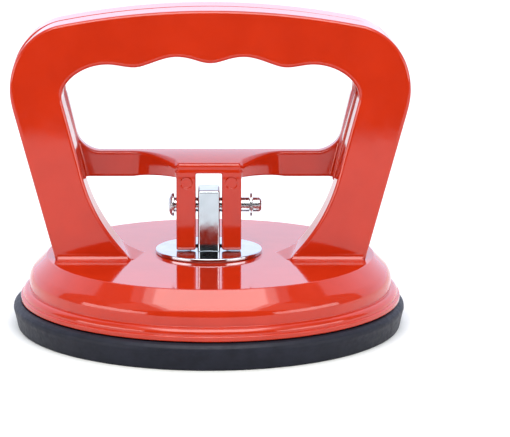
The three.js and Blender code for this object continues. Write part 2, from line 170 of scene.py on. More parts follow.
STUD_RADIUS = STUD_HIGH[1]
LUG_HALF_THICKNESS = 3.25
LUG_BOTTOM = 19
SHANK_TOP = 22
WASHER_HOLE_RADIUS = 6.6
RIVET_RADIUS = 3.4
RIVET_FLARE_HEIGHT = 1.2
CLIP_PLACE = (CLIP_LOW[0] + CLIP_HIGH[0]) / 2

CASTING_STEP = 0.36
STUD_STEP = 0.18


# ---------------------------------------------------------------- outlines

def bezier(*controls):
    """Points about 0.25 mm apart on a Bezier curve, without its first point."""
    controls = np.array(controls, float)
    length = np.linalg.norm(np.diff(controls, axis=0), axis=1).sum()
    t = np.linspace(0, 1, int(length / 0.25) + 2)[1:, None]
    degree = len(controls) - 1
    return sum(math.comb(degree, k) * (1 - t) ** (degree - k) * t ** k * p for k, p in enumerate(controls))


def path(start, *curves):
    """A chain of Bezier curves, each given by the controls after its start."""
    points = [np.array([start], float)]
    for controls in curves:
        points.append(bezier(points[-1][-1], *controls))
    return np.concatenate(points)


def mirrored(points):
    return points[::-1] * (-1, 1)


def softened(corners, arc_steps=8):
    """A closed outline from (u, v, radius) corners, each turned into an arc of that radius."""
    points = []
    for index, (u, v, radius) in enumerate(corners):
        corner = np.array([u, v], float)
        before = np.array(corners[index - 1][:2]) - corner
        after = np.array(corners[(index + 1) % len(corners)][:2]) - corner
        before /= np.linalg.norm(before)
        after /= np.linalg.norm(after)
        half = math.acos(np.clip(before @ after, -1, 1)) / 2
        if radius == 0:
            points.append(corner)
            continue
        centre = corner + (before + after) / np.linalg.norm(before + after) * radius / math.sin(half)
        start = corner + before * radius / math.tan(half) - centre
        end = corner + after * radius / math.tan(half) - centre
        turn = math.pi - 2 * half
        for step in range(arc_steps + 1):
            share = step / arc_steps
            mixed = (start * math.sin((1 - share) * turn) + end * math.sin(share * turn)) / math.sin(turn)
            points.append(centre + mixed)
    return np.array(points)


def leg_outer(height):
    return FOOT_OUTER + LEG_SLOPE * height


def leg_inner(height):
    return INNER_LEG + INNER_SLOPE * (height - INNER_LEG_HEIGHT)


def outer_half(*ending):
    """Right-hand outer edge of a D handle from the middle of the grip down, and on through more curves."""
    half = HANDLE_HALF_WIDTH
    return path(
        (0, HANDLE_TOP),
        [(22, HANDLE_TOP), (44, HANDLE_TOP - 4.25)],
        [(51.9, 68.5), (half, 61.5), (half, 50.5)],
        [(half, 47.9), (leg_outer(LEG_TOP), LEG_TOP)],
        *ending,
    )


def inner_half(*ending):
    """Right-hand inner edge: two finger scallops, the upper corner and the top of the leg."""
    return path(
        (0, GRIP_MIDDLE),
        [(3.2, GRIP_MIDDLE), (5.5, 60.65), (9.9, 60.65)],
        [(14.4, 60.65), (19, 57.55), (22.4, 57.55)],
        [(25, 57.55), (27.5, 58.4), (30.2, 58.4)],
        [(38, 58.4), (44.7, 52.7), (43.5, 47.5)],
        [(INNER_LEG, INNER_LEG_HEIGHT)],
        *ending,
    )


def whole_band(outer, inner):
    """The closed outline of a D from the right-hand halves of its two edges."""
    return np.concatenate([mirrored(inner), inner[1:], outer[::-1], mirrored(outer)[::-1][1:]])


def fixed_outline():
    foot_tip = 23.2
    outer = outer_half([(leg_outer(HANDLE_ROOT), HANDLE_ROOT)])
    inner = inner_half([(35.3, 13.5), (29.3, 6.6), (foot_tip, -0.3)], [(foot_tip, HANDLE_ROOT)])
    return whole_band(outer, inner)


def arm_outline():
    corner_height = 2.2
    corner = (leg_outer(ARM_BOTTOM), ARM_BOTTOM)
    above = (leg_outer(ARM_BOTTOM + corner_height), ARM_BOTTOM + corner_height)
    outer = outer_half([above], [corner, (corner[0] - 2.9, ARM_BOTTOM)])
    inner = inner_half([(leg_inner(ARM_BOTTOM), ARM_BOTTOM)])
    return whole_band(outer, inner)


def by_length(points, count):
    """The same line as count + 1 points, evenly spaced."""
    reach = np.concatenate([[0], np.cumsum(np.linalg.norm(np.diff(points, axis=0), axis=1))])
    at = np.linspace(0, reach[-1], count + 1)
    return np.stack([np.interp(at, reach, points[:, axis]) for axis in (0, 1)], 1)


def pocket_outlines(lowest):
    """The shallow pockets of a handle's right half, with cross ribs between them."""
    steps_per_pocket = 8
    count = POCKETS_PER_HALF * steps_per_pocket
    outer = by_length(outer_half([(leg_outer(lowest), lowest)]), count)
    inner = by_length(inner_half([(leg_inner(lowest), lowest)]), count)
    across = (inner - outer) / np.linalg.norm(inner - outer, axis=1)[:, None] * POCKET_WALL
    outer, inner = outer + across, inner - across
    loops = []
    for pocket in range(POCKETS_PER_HALF):
        span = slice(pocket * steps_per_pocket + 1, (pocket + 1) * steps_per_pocket)
        loops.append(np.concatenate([outer[span], inner[span][::-1]]))
    return loops


def base_profile():
    """The body's turned section as (radius, height) corners with their fillet radii: flange, bead, upright
    band, dome and flat top outside, then the bore, the boss and the hollow."""
    underside = BASE_TOP - WALL
    return softened([
        (FLANGE_RADIUS, FLANGE_BOTTOM, 0.4),
        (FLANGE_RADIUS, 9.6, 0.35),
        (BEAD_RADIUS, 9.75, 0.12),
        (BEAD_RADIUS, BEAD_TOP, 1.75),
        (BAND_RADIUS, BEAD_TOP, 0.2),
        (BAND_RADIUS, 15.1, 4.4),
        (53.55, 17.1, 5.0),
        (TOP_RADIUS, BASE_TOP, 0.6),
        (BORE_RADIUS, BASE_TOP, 0.4),
        (BORE_RADIUS, BOSS_BOTTOM, 0.3),
        (BOSS_RADIUS, BOSS_BOTTOM, 1.0),
        (BOSS_RADIUS + 0.8, underside, 1.2),
        (46.6, underside, 3.0),
        (51.4, 12, 2.0),
        (51.4, FLANGE_BOTTOM, 0.4),
    ])


def foot_outline():
    """The cam foot from the side, as (y, height from the pin). Its contour is the involute that keeps a
    straight ratio between the lever's angle and the stud's drop."""
    rate = CAM_TRAVEL / CAM_ANGLE
    top = BAR_TOP - 4 + BASE_TOP - PIN_Z
    points = [
        (POST_FRONT, top),
        (POST_FRONT, -CAM_REACH + 1),
        (POST_FRONT + 0.3, -CAM_REACH + 0.3),
        (POST_FRONT + 1, -CAM_REACH),
    ]
    for angle in np.linspace(0, CAM_ANGLE, 40):
        support = CAM_REACH - rate * angle
        y = support * math.sin(angle) - rate * math.cos(angle)
        points.append((y, -support * math.cos(angle) - rate * math.sin(angle)))
    points += [(POST_BACK, -4.2), (POST_BACK, top)]
    return np.array(points)


def bar_outline():
    """The crossbar from above, straight at the arms and swept forward to the post. It runs on past the
    lever's back, where the lever's field cuts it off."""
    sweep, room_behind = 17.5, 4
    half = path(
        (0, POST_FRONT),
        [(POST_HALF_WIDTH - 0.5, POST_FRONT)],
        [(POST_HALF_WIDTH, POST_FRONT + 0.7)],
        [(sweep, BAR_FRONT), (BAR_BEND, BAR_FRONT)],
        [(BAR_HALF_WIDTH, BAR_FRONT)],
        [(BAR_HALF_WIDTH, LEVER_BACK + room_behind)],
    )
    return np.concatenate([mirrored(half), half[1:]])


# ---------------------------------------------------------------- distance fields

class Section:
    """The signed distance to closed outlines, negative inside, held on a grid and read smoothly."""

    def __init__(self, outlines, low=None, high=None, step=0.5, margin=4.0):
        points = np.concatenate(outlines)
        self.step = step
        self.low = np.array(low if low is not None else points.min(0) - margin, float)
        high = high if high is not None else points.max(0) + margin
        counts = [int((b - a) / step) + 2 for a, b in zip(self.low, high)]
        u, v = [a + step * np.arange(n) for a, n in zip(self.low, counts)]
        u, v = np.meshgrid(u, v, indexing="ij")
        nearest = np.full(u.shape, np.inf)
        inside = np.zeros(u.shape, bool)
        for outline in outlines:
            for (au, av), (bu, bv) in zip(outline, np.roll(outline, -1, 0)):
                du, dv = bu - au, bv - av
                if du == 0 and dv == 0:
                    continue
                along = np.clip(((u - au) * du + (v - av) * dv) / (du * du + dv * dv), 0, 1)
                gap = (u - au - along * du) ** 2 + (v - av - along * dv) ** 2
                np.minimum(nearest, gap, out=nearest)
                if dv != 0:
                    inside ^= ((av > v) != (bv > v)) & (u < au + (v - av) * du / dv)
        self.values = np.sqrt(nearest) * np.where(inside, -1, 1)

    def read(self, u, v):
        """Catmull-Rom reading of the grid at u and v, which broadcast together."""
        spots, weights = [], []
        for at, low, count in zip((u, v), self.low, self.values.shape):
            place = np.clip((at - low) / self.step, 1, count - 2.001)
            cell = place.astype(int)
            t = place - cell
            spots.append(cell)
            weights.append((
                t * (-0.5 + t * (1 - 0.5 * t)),
                1 + t * t * (1.5 * t - 2.5),
                t * (0.5 + t * (2 - 1.5 * t)),
                t * t * (0.5 * t - 0.5),
            ))
        total = 0
        for i in range(4):
            row = sum(weights[1][j] * self.values[spots[0] + i - 1, spots[1] + j - 1] for j in range(4))
            total = total + weights[0][i] * row
        return total


def between(value, low, high):
    return np.maximum(low - value, value - high)


def meet(a, b, radius):
    """What two shapes share, with the edge between them rounded."""
    outer = np.hypot(np.maximum(a + radius, 0), np.maximum(b + radius, 0))
    return np.minimum(np.maximum(a, b), -radius) + outer


def join(a, b, radius):
    """Two shapes as one, with a fillet between them."""
    return -meet(-a, -b, radius)


def cut(a, b, radius):
    """The first shape without the second, with the new edge rounded."""
    return meet(a, -b, radius)


def edged(profile, from_face, from_gap):
    """A handle of this profile, with a softer edge round its outer face than round the face at the gap."""
    return meet(meet(profile, -from_face, HANDLE_EDGE), -from_gap, GAP_EDGE)


def pocketed(handle, pockets, sunk):
    """A handle with its pockets cut, with some draft towards their floors. sunk is how far a point lies
    below the face."""
    pocket = meet(pockets + POCKET_DRAFT * sunk, sunk - POCKET_DEPTH, POCKET_FLOOR_EDGE)
    return cut(handle, pocket, POCKET_RIM_EDGE)


def make_fixed_handle_field():
    """The body's D handle. Each foot stands on the base with a fillet along its front and back, mitred at
    the tip, and with a flare on its inner side that widens from the front to the back."""
    low, high = (-2, -6), (HANDLE_HALF_WIDTH + 4, HANDLE_TOP + 4)
    handle_section = Section([fixed_outline()], low, high)
    pocket_section = Section(pocket_outlines(13), low, high)

    def field(x, y, z):
        across, height = np.abs(x), z - BASE_TOP
        depth = between(y, HANDLE_FRONT, HANDLE_BACK)
        profile = handle_section.read(across, height)
        spread = FOOT_FLARE_LEAST + FOOT_FLARE * np.clip((y - HANDLE_FRONT) / HANDLE_DEPTH, 0, 1)
        flare = spread - np.hypot(np.maximum(spread - profile, 0), np.maximum(spread - height - 0.05, 0))
        flare = np.maximum(np.maximum(flare, profile - spread), across - INSIDE_LEG)
        profile = np.minimum(profile, np.maximum(flare, -FOOT_BURIED - height))
        handle = edged(profile, y - HANDLE_FRONT, HANDLE_BACK - y)
        handle = pocketed(handle, pocket_section.read(across, height), HANDLE_BACK - y)
        corner = FOOT_FILLET - np.hypot(depth - FOOT_FILLET, height - FOOT_FILLET)
        fillet = np.maximum(corner, np.maximum(depth, height) - FOOT_FILLET)
        mitre = (FOOT_INNER + FOOT_MITRE * (height + np.maximum(depth, 0)) - across) * 0.6
        fillet = np.maximum(fillet, np.maximum(mitre, across - FOOT_OUTER + 0.6))
        fillet = np.maximum(fillet, -FOOT_BURIED - height)
        return join(handle, fillet, 0.2)

    return field


def make_lever_field():
    """The lever: its D handle, the crossbar, and the slotted post that ends in the two cam feet."""
    low, high = (-2, ARM_BOTTOM - 4), (HANDLE_HALF_WIDTH + 4, HANDLE_TOP + 4)
    arm_section = Section([arm_outline()], low, high)
    pocket_section = Section(pocket_outlines(24), low, high)
    bar_low, bar_high = (-2, POST_FRONT - 4), (BAR_HALF_WIDTH + 4, LEVER_BACK + 8)
    bar_section = Section([bar_outline()], bar_low, bar_high)
    foot_section = Section([foot_outline()], step=0.25)

    def field(x, y, z):
        across, height = np.abs(x - SIDE_PLAY), z - BASE_TOP
        handle = edged(arm_section.read(across, height), LEVER_BACK - y, y - LEVER_FRONT)
        handle = pocketed(handle, pocket_section.read(across, height), y - LEVER_FRONT)
        if np.min(z) > BASE_TOP + BAR_TOP + 10:
            return handle
        arm_gap = (leg_inner(height) - across) / math.hypot(1, INNER_SLOPE)
        forward = np.clip((LEVER_BACK - y) / (LEVER_BACK - POST_FRONT), 0, 1)
        bar_top = join(height - BAR_TOP + BAR_CROWN * forward ** 2, arm_gap, BAR_CORNER)
        near_post = np.clip((BAR_BEND - across) / (BAR_BEND - POST_HALF_WIDTH), 0, 1)
        beside_post = np.clip((across - POST_HALF_WIDTH) / POST_SIDE_WIDTH + 0.5, 0, 1)
        top_edge = BAR_TOP_EDGE + (BAR_SWEPT_EDGE - BAR_TOP_EDGE) * near_post * beside_post
        bar = meet(bar_section.read(across, y), bar_top, top_edge)
        bar = meet(bar, y - LEVER_BACK, BAR_TOP_EDGE)
        bar = meet(bar, BAR_BOTTOM + BAR_RISE * near_post - height, BAR_EDGE)
        post = meet(foot_section.read(y, z - PIN_Z), across - POST_HALF_WIDTH, POST_EDGE)
        slot = meet(across - SLOT_HALF_WIDTH, height - SLOT_TOP, SLOT_CORNER)
        hole = np.hypot(y, z - PIN_Z) - PIN_HOLE_RADIUS
        mark_across = np.hypot(across - EJECTOR_OFFSET, height - EJECTOR_HEIGHT) - EJECTOR_RADIUS
        mark = meet(mark_across, y - POST_FRONT - EJECTOR_DEPTH, 0.05)
        whole = join(handle, bar, BAR_FILLET)
        whole = join(whole, post, POST_FILLET)
        whole = cut(whole, slot, SLOT_EDGE)
        whole = cut(whole, hole, 0.3)
        return cut(whole, mark, 0.1)

    return field


def stud_field(x, y, z):
    """The eye stud: a round shank, a flatted lug with the pin's hole, and a rivet foot that flares."""
    side = np.abs(x - SIDE_PLAY)
    round_about_z = np.hypot(x - SIDE_PLAY, y)
    round_about_pin = np.hypot(y, z - PIN_Z)
    plate_top = PLATE_HIGH[2]
    shank = meet(round_about_z - STUD_RADIUS, between(z, plate_top, SHANK_TOP), 0.3)
    block = meet(np.abs(y) - STUD_RADIUS, z - STUD_HIGH[2] + 0.3, 0.7)
    lug = meet(block, side - LUG_HALF_THICKNESS, 0.75)
    lug = meet(lug, LUG_BOTTOM - z, 0.4)
    flare = np.clip(STUD_LOW[2] + RIVET_FLARE_HEIGHT - z, 0, RIVET_FLARE_HEIGHT) * 0.75
    rivet = meet(round_about_z - RIVET_RADIUS - flare, between(z, STUD_LOW[2], plate_top + 1), 0.2)
    whole = join(join(shank, lug, 0.3), rivet, 0.2)
    return cut(whole, round_about_pin - PIN_HOLE_RADIUS, 0.35)


# ---------------------------------------------------------------- meshes

def surface_net(field, low, high, step):
    """A closed quad mesh of a field's zero surface: one vertex in each grid cell that it passes through."""
    axes = [np.arange(a - 2 * step, b + 3 * step, step) for a, b in zip(low, high)]
    x, y = axes[0][:, None, None], axes[1][None, :, None]
    slabs = [field(x, y, part[None, None, :]) for part in np.array_split(axes[2], 16)]
    shape = tuple(len(axis) for axis in axes)
    grid = np.concatenate([np.broadcast_to(slab, shape[:2] + slab.shape[2:]) for slab in slabs], axis=2)
    inside = grid < 0
    cells = tuple(n - 1 for n in shape)
    corners = np.array(list(np.ndindex(2, 2, 2)))
    filled = sum(inside[tuple(slice(c, c + n) for c, n in zip(corner, cells))].astype(np.uint8)
                 for corner in corners)
    active = (filled > 0) & (filled < 8)
    where = np.argwhere(active)
    number = np.full(cells, -1, np.int32)
    number[active] = np.arange(len(where))

    total = np.zeros((len(where), 3))
    hits = np.zeros(len(where))
    for axis in range(3):
        along = np.eye(3, dtype=int)[axis]
        for corner in corners[corners[:, axis] == 0]:
            a = grid[tuple((where + corner).T)]
            b = grid[tuple((where + corner + along).T)]
            crossed = (a < 0) != (b < 0)
            share = a[crossed] / (a[crossed] - b[crossed])
            total[crossed] += corner + share[:, None] * along
            hits[crossed] += 1
    origin = np.array([axis[0] for axis in axes])
    points = origin + step * (where + total / hits[:, None])

    quads = []
    for axis in range(3):
        along, right, up = np.roll(np.eye(3, dtype=int), -axis, axis=0)
        first = np.take(inside, range(shape[axis] - 1), axis)
        second = np.take(inside, range(1, shape[axis]), axis)
        edges = np.argwhere(first != second)
        ring = [edges - right - up, edges - up, edges, edges - right]
        faces = np.stack([number[tuple(corner.T)] for corner in ring], 1)
        leaves = first[tuple(edges.T)]
        quads.append(np.where(leaves[:, None], faces, faces[:, ::-1]))
    return points, np.concatenate(quads)


def slope(field, points, reach=0.02):
    """The field's gradient at each point."""
    parts = []
    for axis in range(3):
        shift = reach * np.eye(3)[axis]
        parts.append(field(*(points + shift).T) - field(*(points - shift).T))
    return np.stack(parts, 1) / (2 * reach)


def drawn_on(field, points, rounds=2, most=0.3):
    """The points moved along the field's slope onto its surface."""
    for _ in range(rounds):
        uphill = slope(field, points)
        steps = -field(*points.T) / np.maximum((uphill ** 2).sum(1), 0.1)
        steps = np.clip(steps, -most, most)
        points = points + steps[:, None] * uphill
    return points


def evened(points, quads):
    """Each vertex moved to the mean of its neighbours, along the quads' edges."""
    ends = np.concatenate([quads[:, [k, (k + 1) % 4]] for k in range(4)])
    count = np.bincount(ends[:, 0], minlength=len(points))
    sums = [np.bincount(ends[:, 0], points[ends[:, 1], axis], len(points)) for axis in range(3)]
    return np.stack(sums, 1) / count[:, None]


def mesh_object(name, points, faces):
    mesh = bpy.data.meshes.new(name)
    mesh.from_pydata((points * MM).tolist(), [], faces.tolist() if hasattr(faces, "tolist") else faces)
    mesh.shade_smooth()
    piece = bpy.data.objects.new(name, mesh)
    bpy.context.scene.collection.objects.link(piece)
    return piece


def cast(name, field, low, high, step, keep):
    """A piece from a distance field: meshed finely, thinned where it is flat, and shaded by the field."""
    points, quads = surface_net(field, low, high, step)
    points = drawn_on(field, evened(points, quads))
    piece = mesh_object(name, points, quads)
    thin = piece.modifiers.new("thin", "DECIMATE")
    thin.ratio = keep
    evaluated = piece.evaluated_get(bpy.context.evaluated_depsgraph_get())
    mesh = bpy.data.meshes.new_from_object(evaluated)
    piece.modifiers.clear()
    piece.data = mesh
    points = np.empty(len(mesh.vertices) * 3, np.float32)
    mesh.vertices.foreach_get("co", points)
    points = drawn_on(field, points.reshape(-1, 3).astype(float) / MM, rounds=1, most=0.05)
    mesh.vertices.foreach_set("co", (points * MM).astype(np.float32).ravel())
    normals = slope(field, points)
    normals /= np.linalg.norm(normals, axis=1)[:, None]
    mesh.shade_smooth()
    mesh.normals_split_custom_set_from_vertices(normals.tolist())
    return piece


def tidied(name, bm):
    """A piece from a bmesh: doubled points merged, faces turned outwards, shaded smooth."""
    bmesh.ops.remove_doubles(bm, verts=bm.verts, dist=1e-3 * MM)
    bmesh.ops.recalc_face_normals(bm, faces=bm.faces)
    mesh = bpy.data.meshes.new(name)
    bm.to_mesh(mesh)
    bm.free()
    mesh.shade_smooth()
    piece = bpy.data.objects.new(name, mesh)
    bpy.context.scene.collection.objects.link(piece)
    return piece


def add_turned(bm, profile, steps, centre=(SIDE_PLAY, 0), along_x=False):
    """A section of (radius, place) points swept round a vertical axis at centre, or round the pin's axis."""
    profile = np.asarray(profile, float)
    angles = np.arange(steps) * 2 * np.pi / steps
    rings = []
    for radius, place in profile:
        ring = []
        for angle in angles:
            u, v = radius * math.cos(angle), radius * math.sin(angle)
            spot = (place, u, PIN_Z + v) if along_x else (centre[0] + u, centre[1] + v, place)
            ring.append(bm.verts.new(Vector(spot) * MM))
        rings.append(ring)
    hollow = profile[0][0] > 0
    pairs = list(zip(rings, rings[1:])) + ([(rings[-1], rings[0])] if hollow else [])
    for ring, following in pairs:
        for k in range(steps):
            after = (k + 1) % steps
            bm.faces.new([ring[k], ring[after], following[after], following[k]])


def weigh_normals(piece):
    piece.modifiers.new("flat faces lead", "WEIGHTED_NORMAL").weight = 60


def make_base_shell():
    """The turned base with the radial ribs under it."""
    bm = bmesh.new()
    add_turned(bm, base_profile(), 320, centre=(0, 0))
    length, height = RIB_REACH - BOSS_RADIUS + 1, BASE_TOP - 1 - RIB_BOTTOM
    for index in range(RIB_COUNT):
        turn = Matrix.Rotation((index + 0.5) * 2 * math.pi / RIB_COUNT, 4, "Z")
        place = Vector(((BOSS_RADIUS - 1 + RIB_REACH) / 2, 0, RIB_BOTTOM + height / 2)) * MM
        size = Matrix.Diagonal((length * MM, RIB_THICKNESS * MM, height * MM, 1))
        bmesh.ops.create_cube(bm, size=1, matrix=turn @ Matrix.Translation(place) @ size)
    piece = tidied("body_casting_base", bm)
    weigh_normals(piece)
    return piece


def make_washer():
    bm = bmesh.new()
    inner, outer = WASHER_HOLE_RADIUS, WASHER_HIGH[1]
    low, high = WASHER_LOW[2], WASHER_HIGH[2]
    profile = softened([
        (inner, low, 0.1), (outer, low, 0.3), (outer, high, 0.3), (inner, high, 0.2),
    ])
    add_turned(bm, profile, 160)
    piece = tidied("wear_washer_round", bm)
    weigh_normals(piece)
    return piece


def make_pin():
    head, end = PIN_LOW[0], PIN_HIGH[0]
    head_inner = head + 1.85
    groove = CLIP_PLACE - 0.5
    shaft, deep = 2.15, 1.6
    bm = bmesh.new()
    add_turned(bm, softened([
        (0, head, 0),
        (1.6, head + 0.2, 3),
        (2.7, head + 0.6, 1.5),
        (PIN_HIGH[1], head + 1.2, 0.4),
        (PIN_HIGH[1], head_inner, 0.15),
        (shaft, head_inner, 0.1),
        (shaft, groove, 0.08),
        (deep, groove, 0.08),
        (deep, groove + 1, 0.08),
        (shaft, groove + 1, 0.08),
        (shaft, end - 0.6, 0.15),
        (shaft - 0.6, end, 0.15),
        (0, end, 0),
    ]), 72, along_x=True)
    piece = tidied("pivot_pin_turned", bm)
    weigh_normals(piece)
    return piece


def arc(radius, start, end, steps):
    angles = np.linspace(start, end, steps)
    return [(radius * math.cos(angle), radius * math.sin(angle)) for angle in angles]


def make_clip():
    """The E-clip: three lobes seated in the pin's groove, open towards the lever's back."""
    seat, relief = 1.75, 2.5
    mouth, lobe = math.radians(35), math.radians(16)
    outline = arc(CLIP_HIGH[2] - PIN_Z, mouth, 2 * math.pi - mouth, 60)
    lobes = [2 * math.pi - mouth - lobe / 2, math.pi, mouth + lobe / 2]
    for index, middle in enumerate(lobes):
        outline += arc(seat, middle + lobe / 2, middle - lobe / 2, 6)
        if index < 2:
            outline += arc(relief, middle - lobe / 2 - 0.1, lobes[index + 1] + lobe / 2 + 0.1, 24)
    bm = bmesh.new()
    left, right = CLIP_LOW[0], CLIP_HIGH[0]
    sides = [[bm.verts.new(Vector((x, y, PIN_Z + up)) * MM) for y, up in outline] for x in (left, right)]
    for side in sides:
        bm.faces.new(side)
    for k in range(len(outline)):
        after = (k + 1) % len(outline)
        bm.faces.new([sides[0][k], sides[0][after], sides[1][after], sides[1][k]])
    piece = tidied("pin_clip_sprung", bm)
    bevel = piece.modifiers.new("edge", "BEVEL")
    bevel.width = 0.07 * MM
    bevel.segments = 2
    bevel.angle_limit = math.radians(50)
    weigh_normals(piece)
    return piece


def make_pad():
    """The rubber cup: a thick rim on the floor and a thin web that lifts the middle with the stud."""
    lift, land, foot = 4.5, 45, 57.5
    recess = PLATE_LOW[2] - 0.3
    lip = PLATE_HIGH[1] + 0.3
    outer = PAD_HIGH[1]
    key_circle = 17
    web = path((0, lift), [(24, lift)], [(34.5, lift), (37.8, 0), (land, 0)])
    rim = softened([
        (land, 0, 0),
        (foot, 0, 0.35),
        (foot + 0.3, 0.4, 0.5),
        (58.7, 4.6, 1.5),
        (outer, 5.6, 1.2),
        (58.8, 6.6, 1.0),
        (58.0, 7.4, 1.0),
        (57.0, 7.8, 0.8),
        (51, 7.8, 0.6),
        (49.5, 5.6, 1.0),
        (46, 4.6, 3.0),
        (41, 5.2, 6.0),
        (34, 8.6, 6.0),
        (30, 10, 1.5),
        (lip, 10, 0.3),
        (lip, recess, 0.2),
        (0, recess, 0),
    ])
    rim = np.concatenate([rim[1:-1], [(k, recess) for k in (24, 20, 15, 10, 5)], rim[-1:]])
    bm = bmesh.new()
    add_turned(bm, np.concatenate([web, rim]), 240)
    for angle in np.arange(6) * math.pi / 3:
        place = (SIDE_PLAY + key_circle * math.cos(angle), key_circle * math.sin(angle))
        post = softened([(0, recess - 1, 0), (1.9, recess - 1, 0.1), (1.9, 10.5, 0.2), (0, 10.5, 0)])
        add_turned(bm, post, 24, place)
    return tidied("suction_pad_moulded", bm)


def let_web_flex(piece):
    """Bakes the pad's placement into its mesh and works out how far each point lies from the rim towards the
    middle; no point is moved, so the web doesn't bend.
    """
    middle, rim = 27 * MM, 44 * MM
    centre = SIDE_PLAY * MM
    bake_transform(piece)
    points = np.empty(len(piece.data.vertices) * 3, np.float32)
    piece.data.vertices.foreach_get("co", points)
    points = points.reshape(-1, 3)
    share = np.clip((rim - np.hypot(points[:, 0] - centre, points[:, 1])) / (rim - middle), 0, 1)


# ---------------------------------------------------------------- materials

def srgb(*levels):
    """A colour given as 0 to 255 screen levels, as linear RGBA."""
    shares = [level / 255 for level in levels]
    return [s / 12.92 if s <= 0.04045 else ((s + 0.055) / 1.055) ** 2.4 for s in shares] + [1]


class Finish:
    """A Principled material whose colour, roughness and bump vary over the object's own coordinates."""

    def __init__(self, name, **constants):
        self.material = bpy.data.materials.new(name)
        self.material.use_nodes = True
        self.tree = self.material.node_tree
        self.shader = self.tree.nodes["Principled BSDF"]
        self.place = self.add("ShaderNodeTexCoord").outputs["Object"]
        self.normal = None
        for socket, value in constants.items():
            self.shader.inputs[socket.replace("_", " ").title().replace("Ior", "IOR")].default_value = value

    def add(self, kind, **sockets):
        node = self.tree.nodes.new(kind)
        for socket, value in sockets.items():
            node.inputs[socket].default_value = value
        return node

    def link(self, source, target):
        self.tree.links.new(source, target)

    def noise(self, size, detail=2.0, roughness=0.5, stretch=None):
        """Smooth noise from 0 to 1 with features of about this size in millimetres."""
        node = self.add("ShaderNodeTexNoise", Scale=1 / (size * MM), Detail=detail, Roughness=roughness)
        place = self.place
        if stretch:
            mapping = self.add("ShaderNodeMapping", Scale=stretch)
            self.link(place, mapping.inputs["Vector"])
            place = mapping.outputs["Vector"]
        self.link(place, node.inputs["Vector"])
        return node.outputs["Fac"]

    def colours(self, source, first, second, low=0.3, high=0.7):
        ranged = self.ranged(source, low, high, 0, 1)
        mix = self.tree.nodes.new("ShaderNodeMix")
        mix.data_type = "RGBA"
        self.link(ranged, mix.inputs["Factor"])
        mix.inputs[6].default_value = first
        mix.inputs[7].default_value = second
        self.link(mix.outputs[2], self.shader.inputs["Base Color"])

    def ranged(self, source, low, high, to_low, to_high):
        node = self.tree.nodes.new("ShaderNodeMapRange")
        self.link(source, node.inputs["Value"])
        for socket, value in zip(("From Min", "From Max", "To Min", "To Max"), (low, high, to_low, to_high)):
            node.inputs[socket].default_value = value
        return node.outputs["Result"]

    def roughness(self, source, low, high):
        self.link(self.ranged(source, 0.3, 0.7, low, high), self.shader.inputs["Roughness"])

    def bump(self, source, height):
        """Another layer of relief, its height in micrometres."""
        node = self.add("ShaderNodeBump", Distance=height * 1e-6)
        self.link(source, node.inputs["Height"])
        if self.normal:
            self.link(self.normal, node.inputs["Normal"])
        self.normal = node.outputs["Normal"]
        self.link(self.normal, self.shader.inputs["Normal"])


def make_paint():
    """Gloss lacquer over a casting: orange peel, faint long waves and a little unevenness of colour."""
    paint = Finish("gloss_red_paint", specular_ior_level=0.5)
    paint.colours(paint.noise(9, 3), srgb(187, 43, 15), srgb(195, 47, 18))
    paint.roughness(paint.noise(2.5, 4), 0.05, 0.10)
    paint.bump(paint.noise(7, 1), 12)
    paint.bump(paint.noise(1.3, 2), 1.6)
    return paint.material


def make_chrome(name, ring_marks):
    """Bright plating with fine polishing marks."""
    chrome = Finish(name, metallic=1.0)
    chrome.colours(chrome.noise(3, 3), srgb(176, 182, 187), srgb(190, 196, 201))
    chrome.roughness(chrome.noise(1.5, 4), 0.07, 0.16)
    if ring_marks:
        rings = chrome.add("ShaderNodeTexWave", Scale=900, Distortion=0.6, Detail=2)
        rings.wave_type = "RINGS"
        rings.rings_direction = "Z"
        chrome.link(chrome.place, rings.inputs["Vector"])
        chrome.bump(rings.outputs["Fac"], 0.5)
    chrome.bump(chrome.noise(2.2, 3), 6)
    return chrome.material


def make_zinc():
    """Bright zinc plating, a little duller and mottled."""
    zinc = Finish("bright_zinc", metallic=1.0)
    zinc.colours(zinc.noise(0.8, 4), srgb(168, 170, 176), srgb(206, 207, 210))
    zinc.roughness(zinc.noise(0.5, 4), 0.18, 0.34)
    zinc.bump(zinc.noise(0.35, 3), 3)
    return zinc.material


def make_steel():
    """Plain pressed steel with a rolled grain."""
    steel = Finish("plate_steel", metallic=1.0)
    steel.colours(steel.noise(1.5, 4, stretch=(1, 8, 1)), srgb(120, 122, 126), srgb(158, 160, 164))
    steel.roughness(steel.noise(1.0, 4, stretch=(1, 8, 1)), 0.32, 0.5)
    steel.bump(steel.noise(0.5, 3, stretch=(1, 8, 1)), 4)
    return steel.material


def make_rubber():
    """Moulded blue-black rubber: a fine matt grain and a faint uneven bloom."""
    rubber = Finish("moulded_rubber", specular_ior_level=0.2)
    rubber.colours(rubber.noise(5, 5, 0.6), srgb(20, 22, 33), srgb(31, 33, 46))
    rubber.roughness(rubber.noise(1.5, 5), 0.42, 0.6)
    rubber.bump(rubber.noise(2.4, 2), 18)
    rubber.bump(rubber.noise(0.25, 3), 5)
    return rubber.material


def make_floor_finish():
    floor = Finish("pale_floor", specular_ior_level=0.1)
    floor.colours(floor.noise(60, 3), srgb(249, 250, 246), srgb(252, 253, 249))
    floor.roughness(floor.noise(25, 3), 0.75, 0.9)
    floor.bump(floor.noise(1.2, 2), 4)
    return floor.material


# ---------------------------------------------------------------- the object

def fit(piece, node, body, finish):
    """A finished piece that stands for a CAD node and moves with its body."""
    piece.data.materials.clear()
    piece.data.materials.append(finish)
    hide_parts(node)
    if body:
        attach(piece, body)
    return piece


paint = make_paint()
stud_chrome = make_chrome("stud_chrome", ring_marks=False)
washer_chrome = make_chrome("washer_chrome", ring_marks=True)
zinc = make_zinc()
rubber = make_rubber()

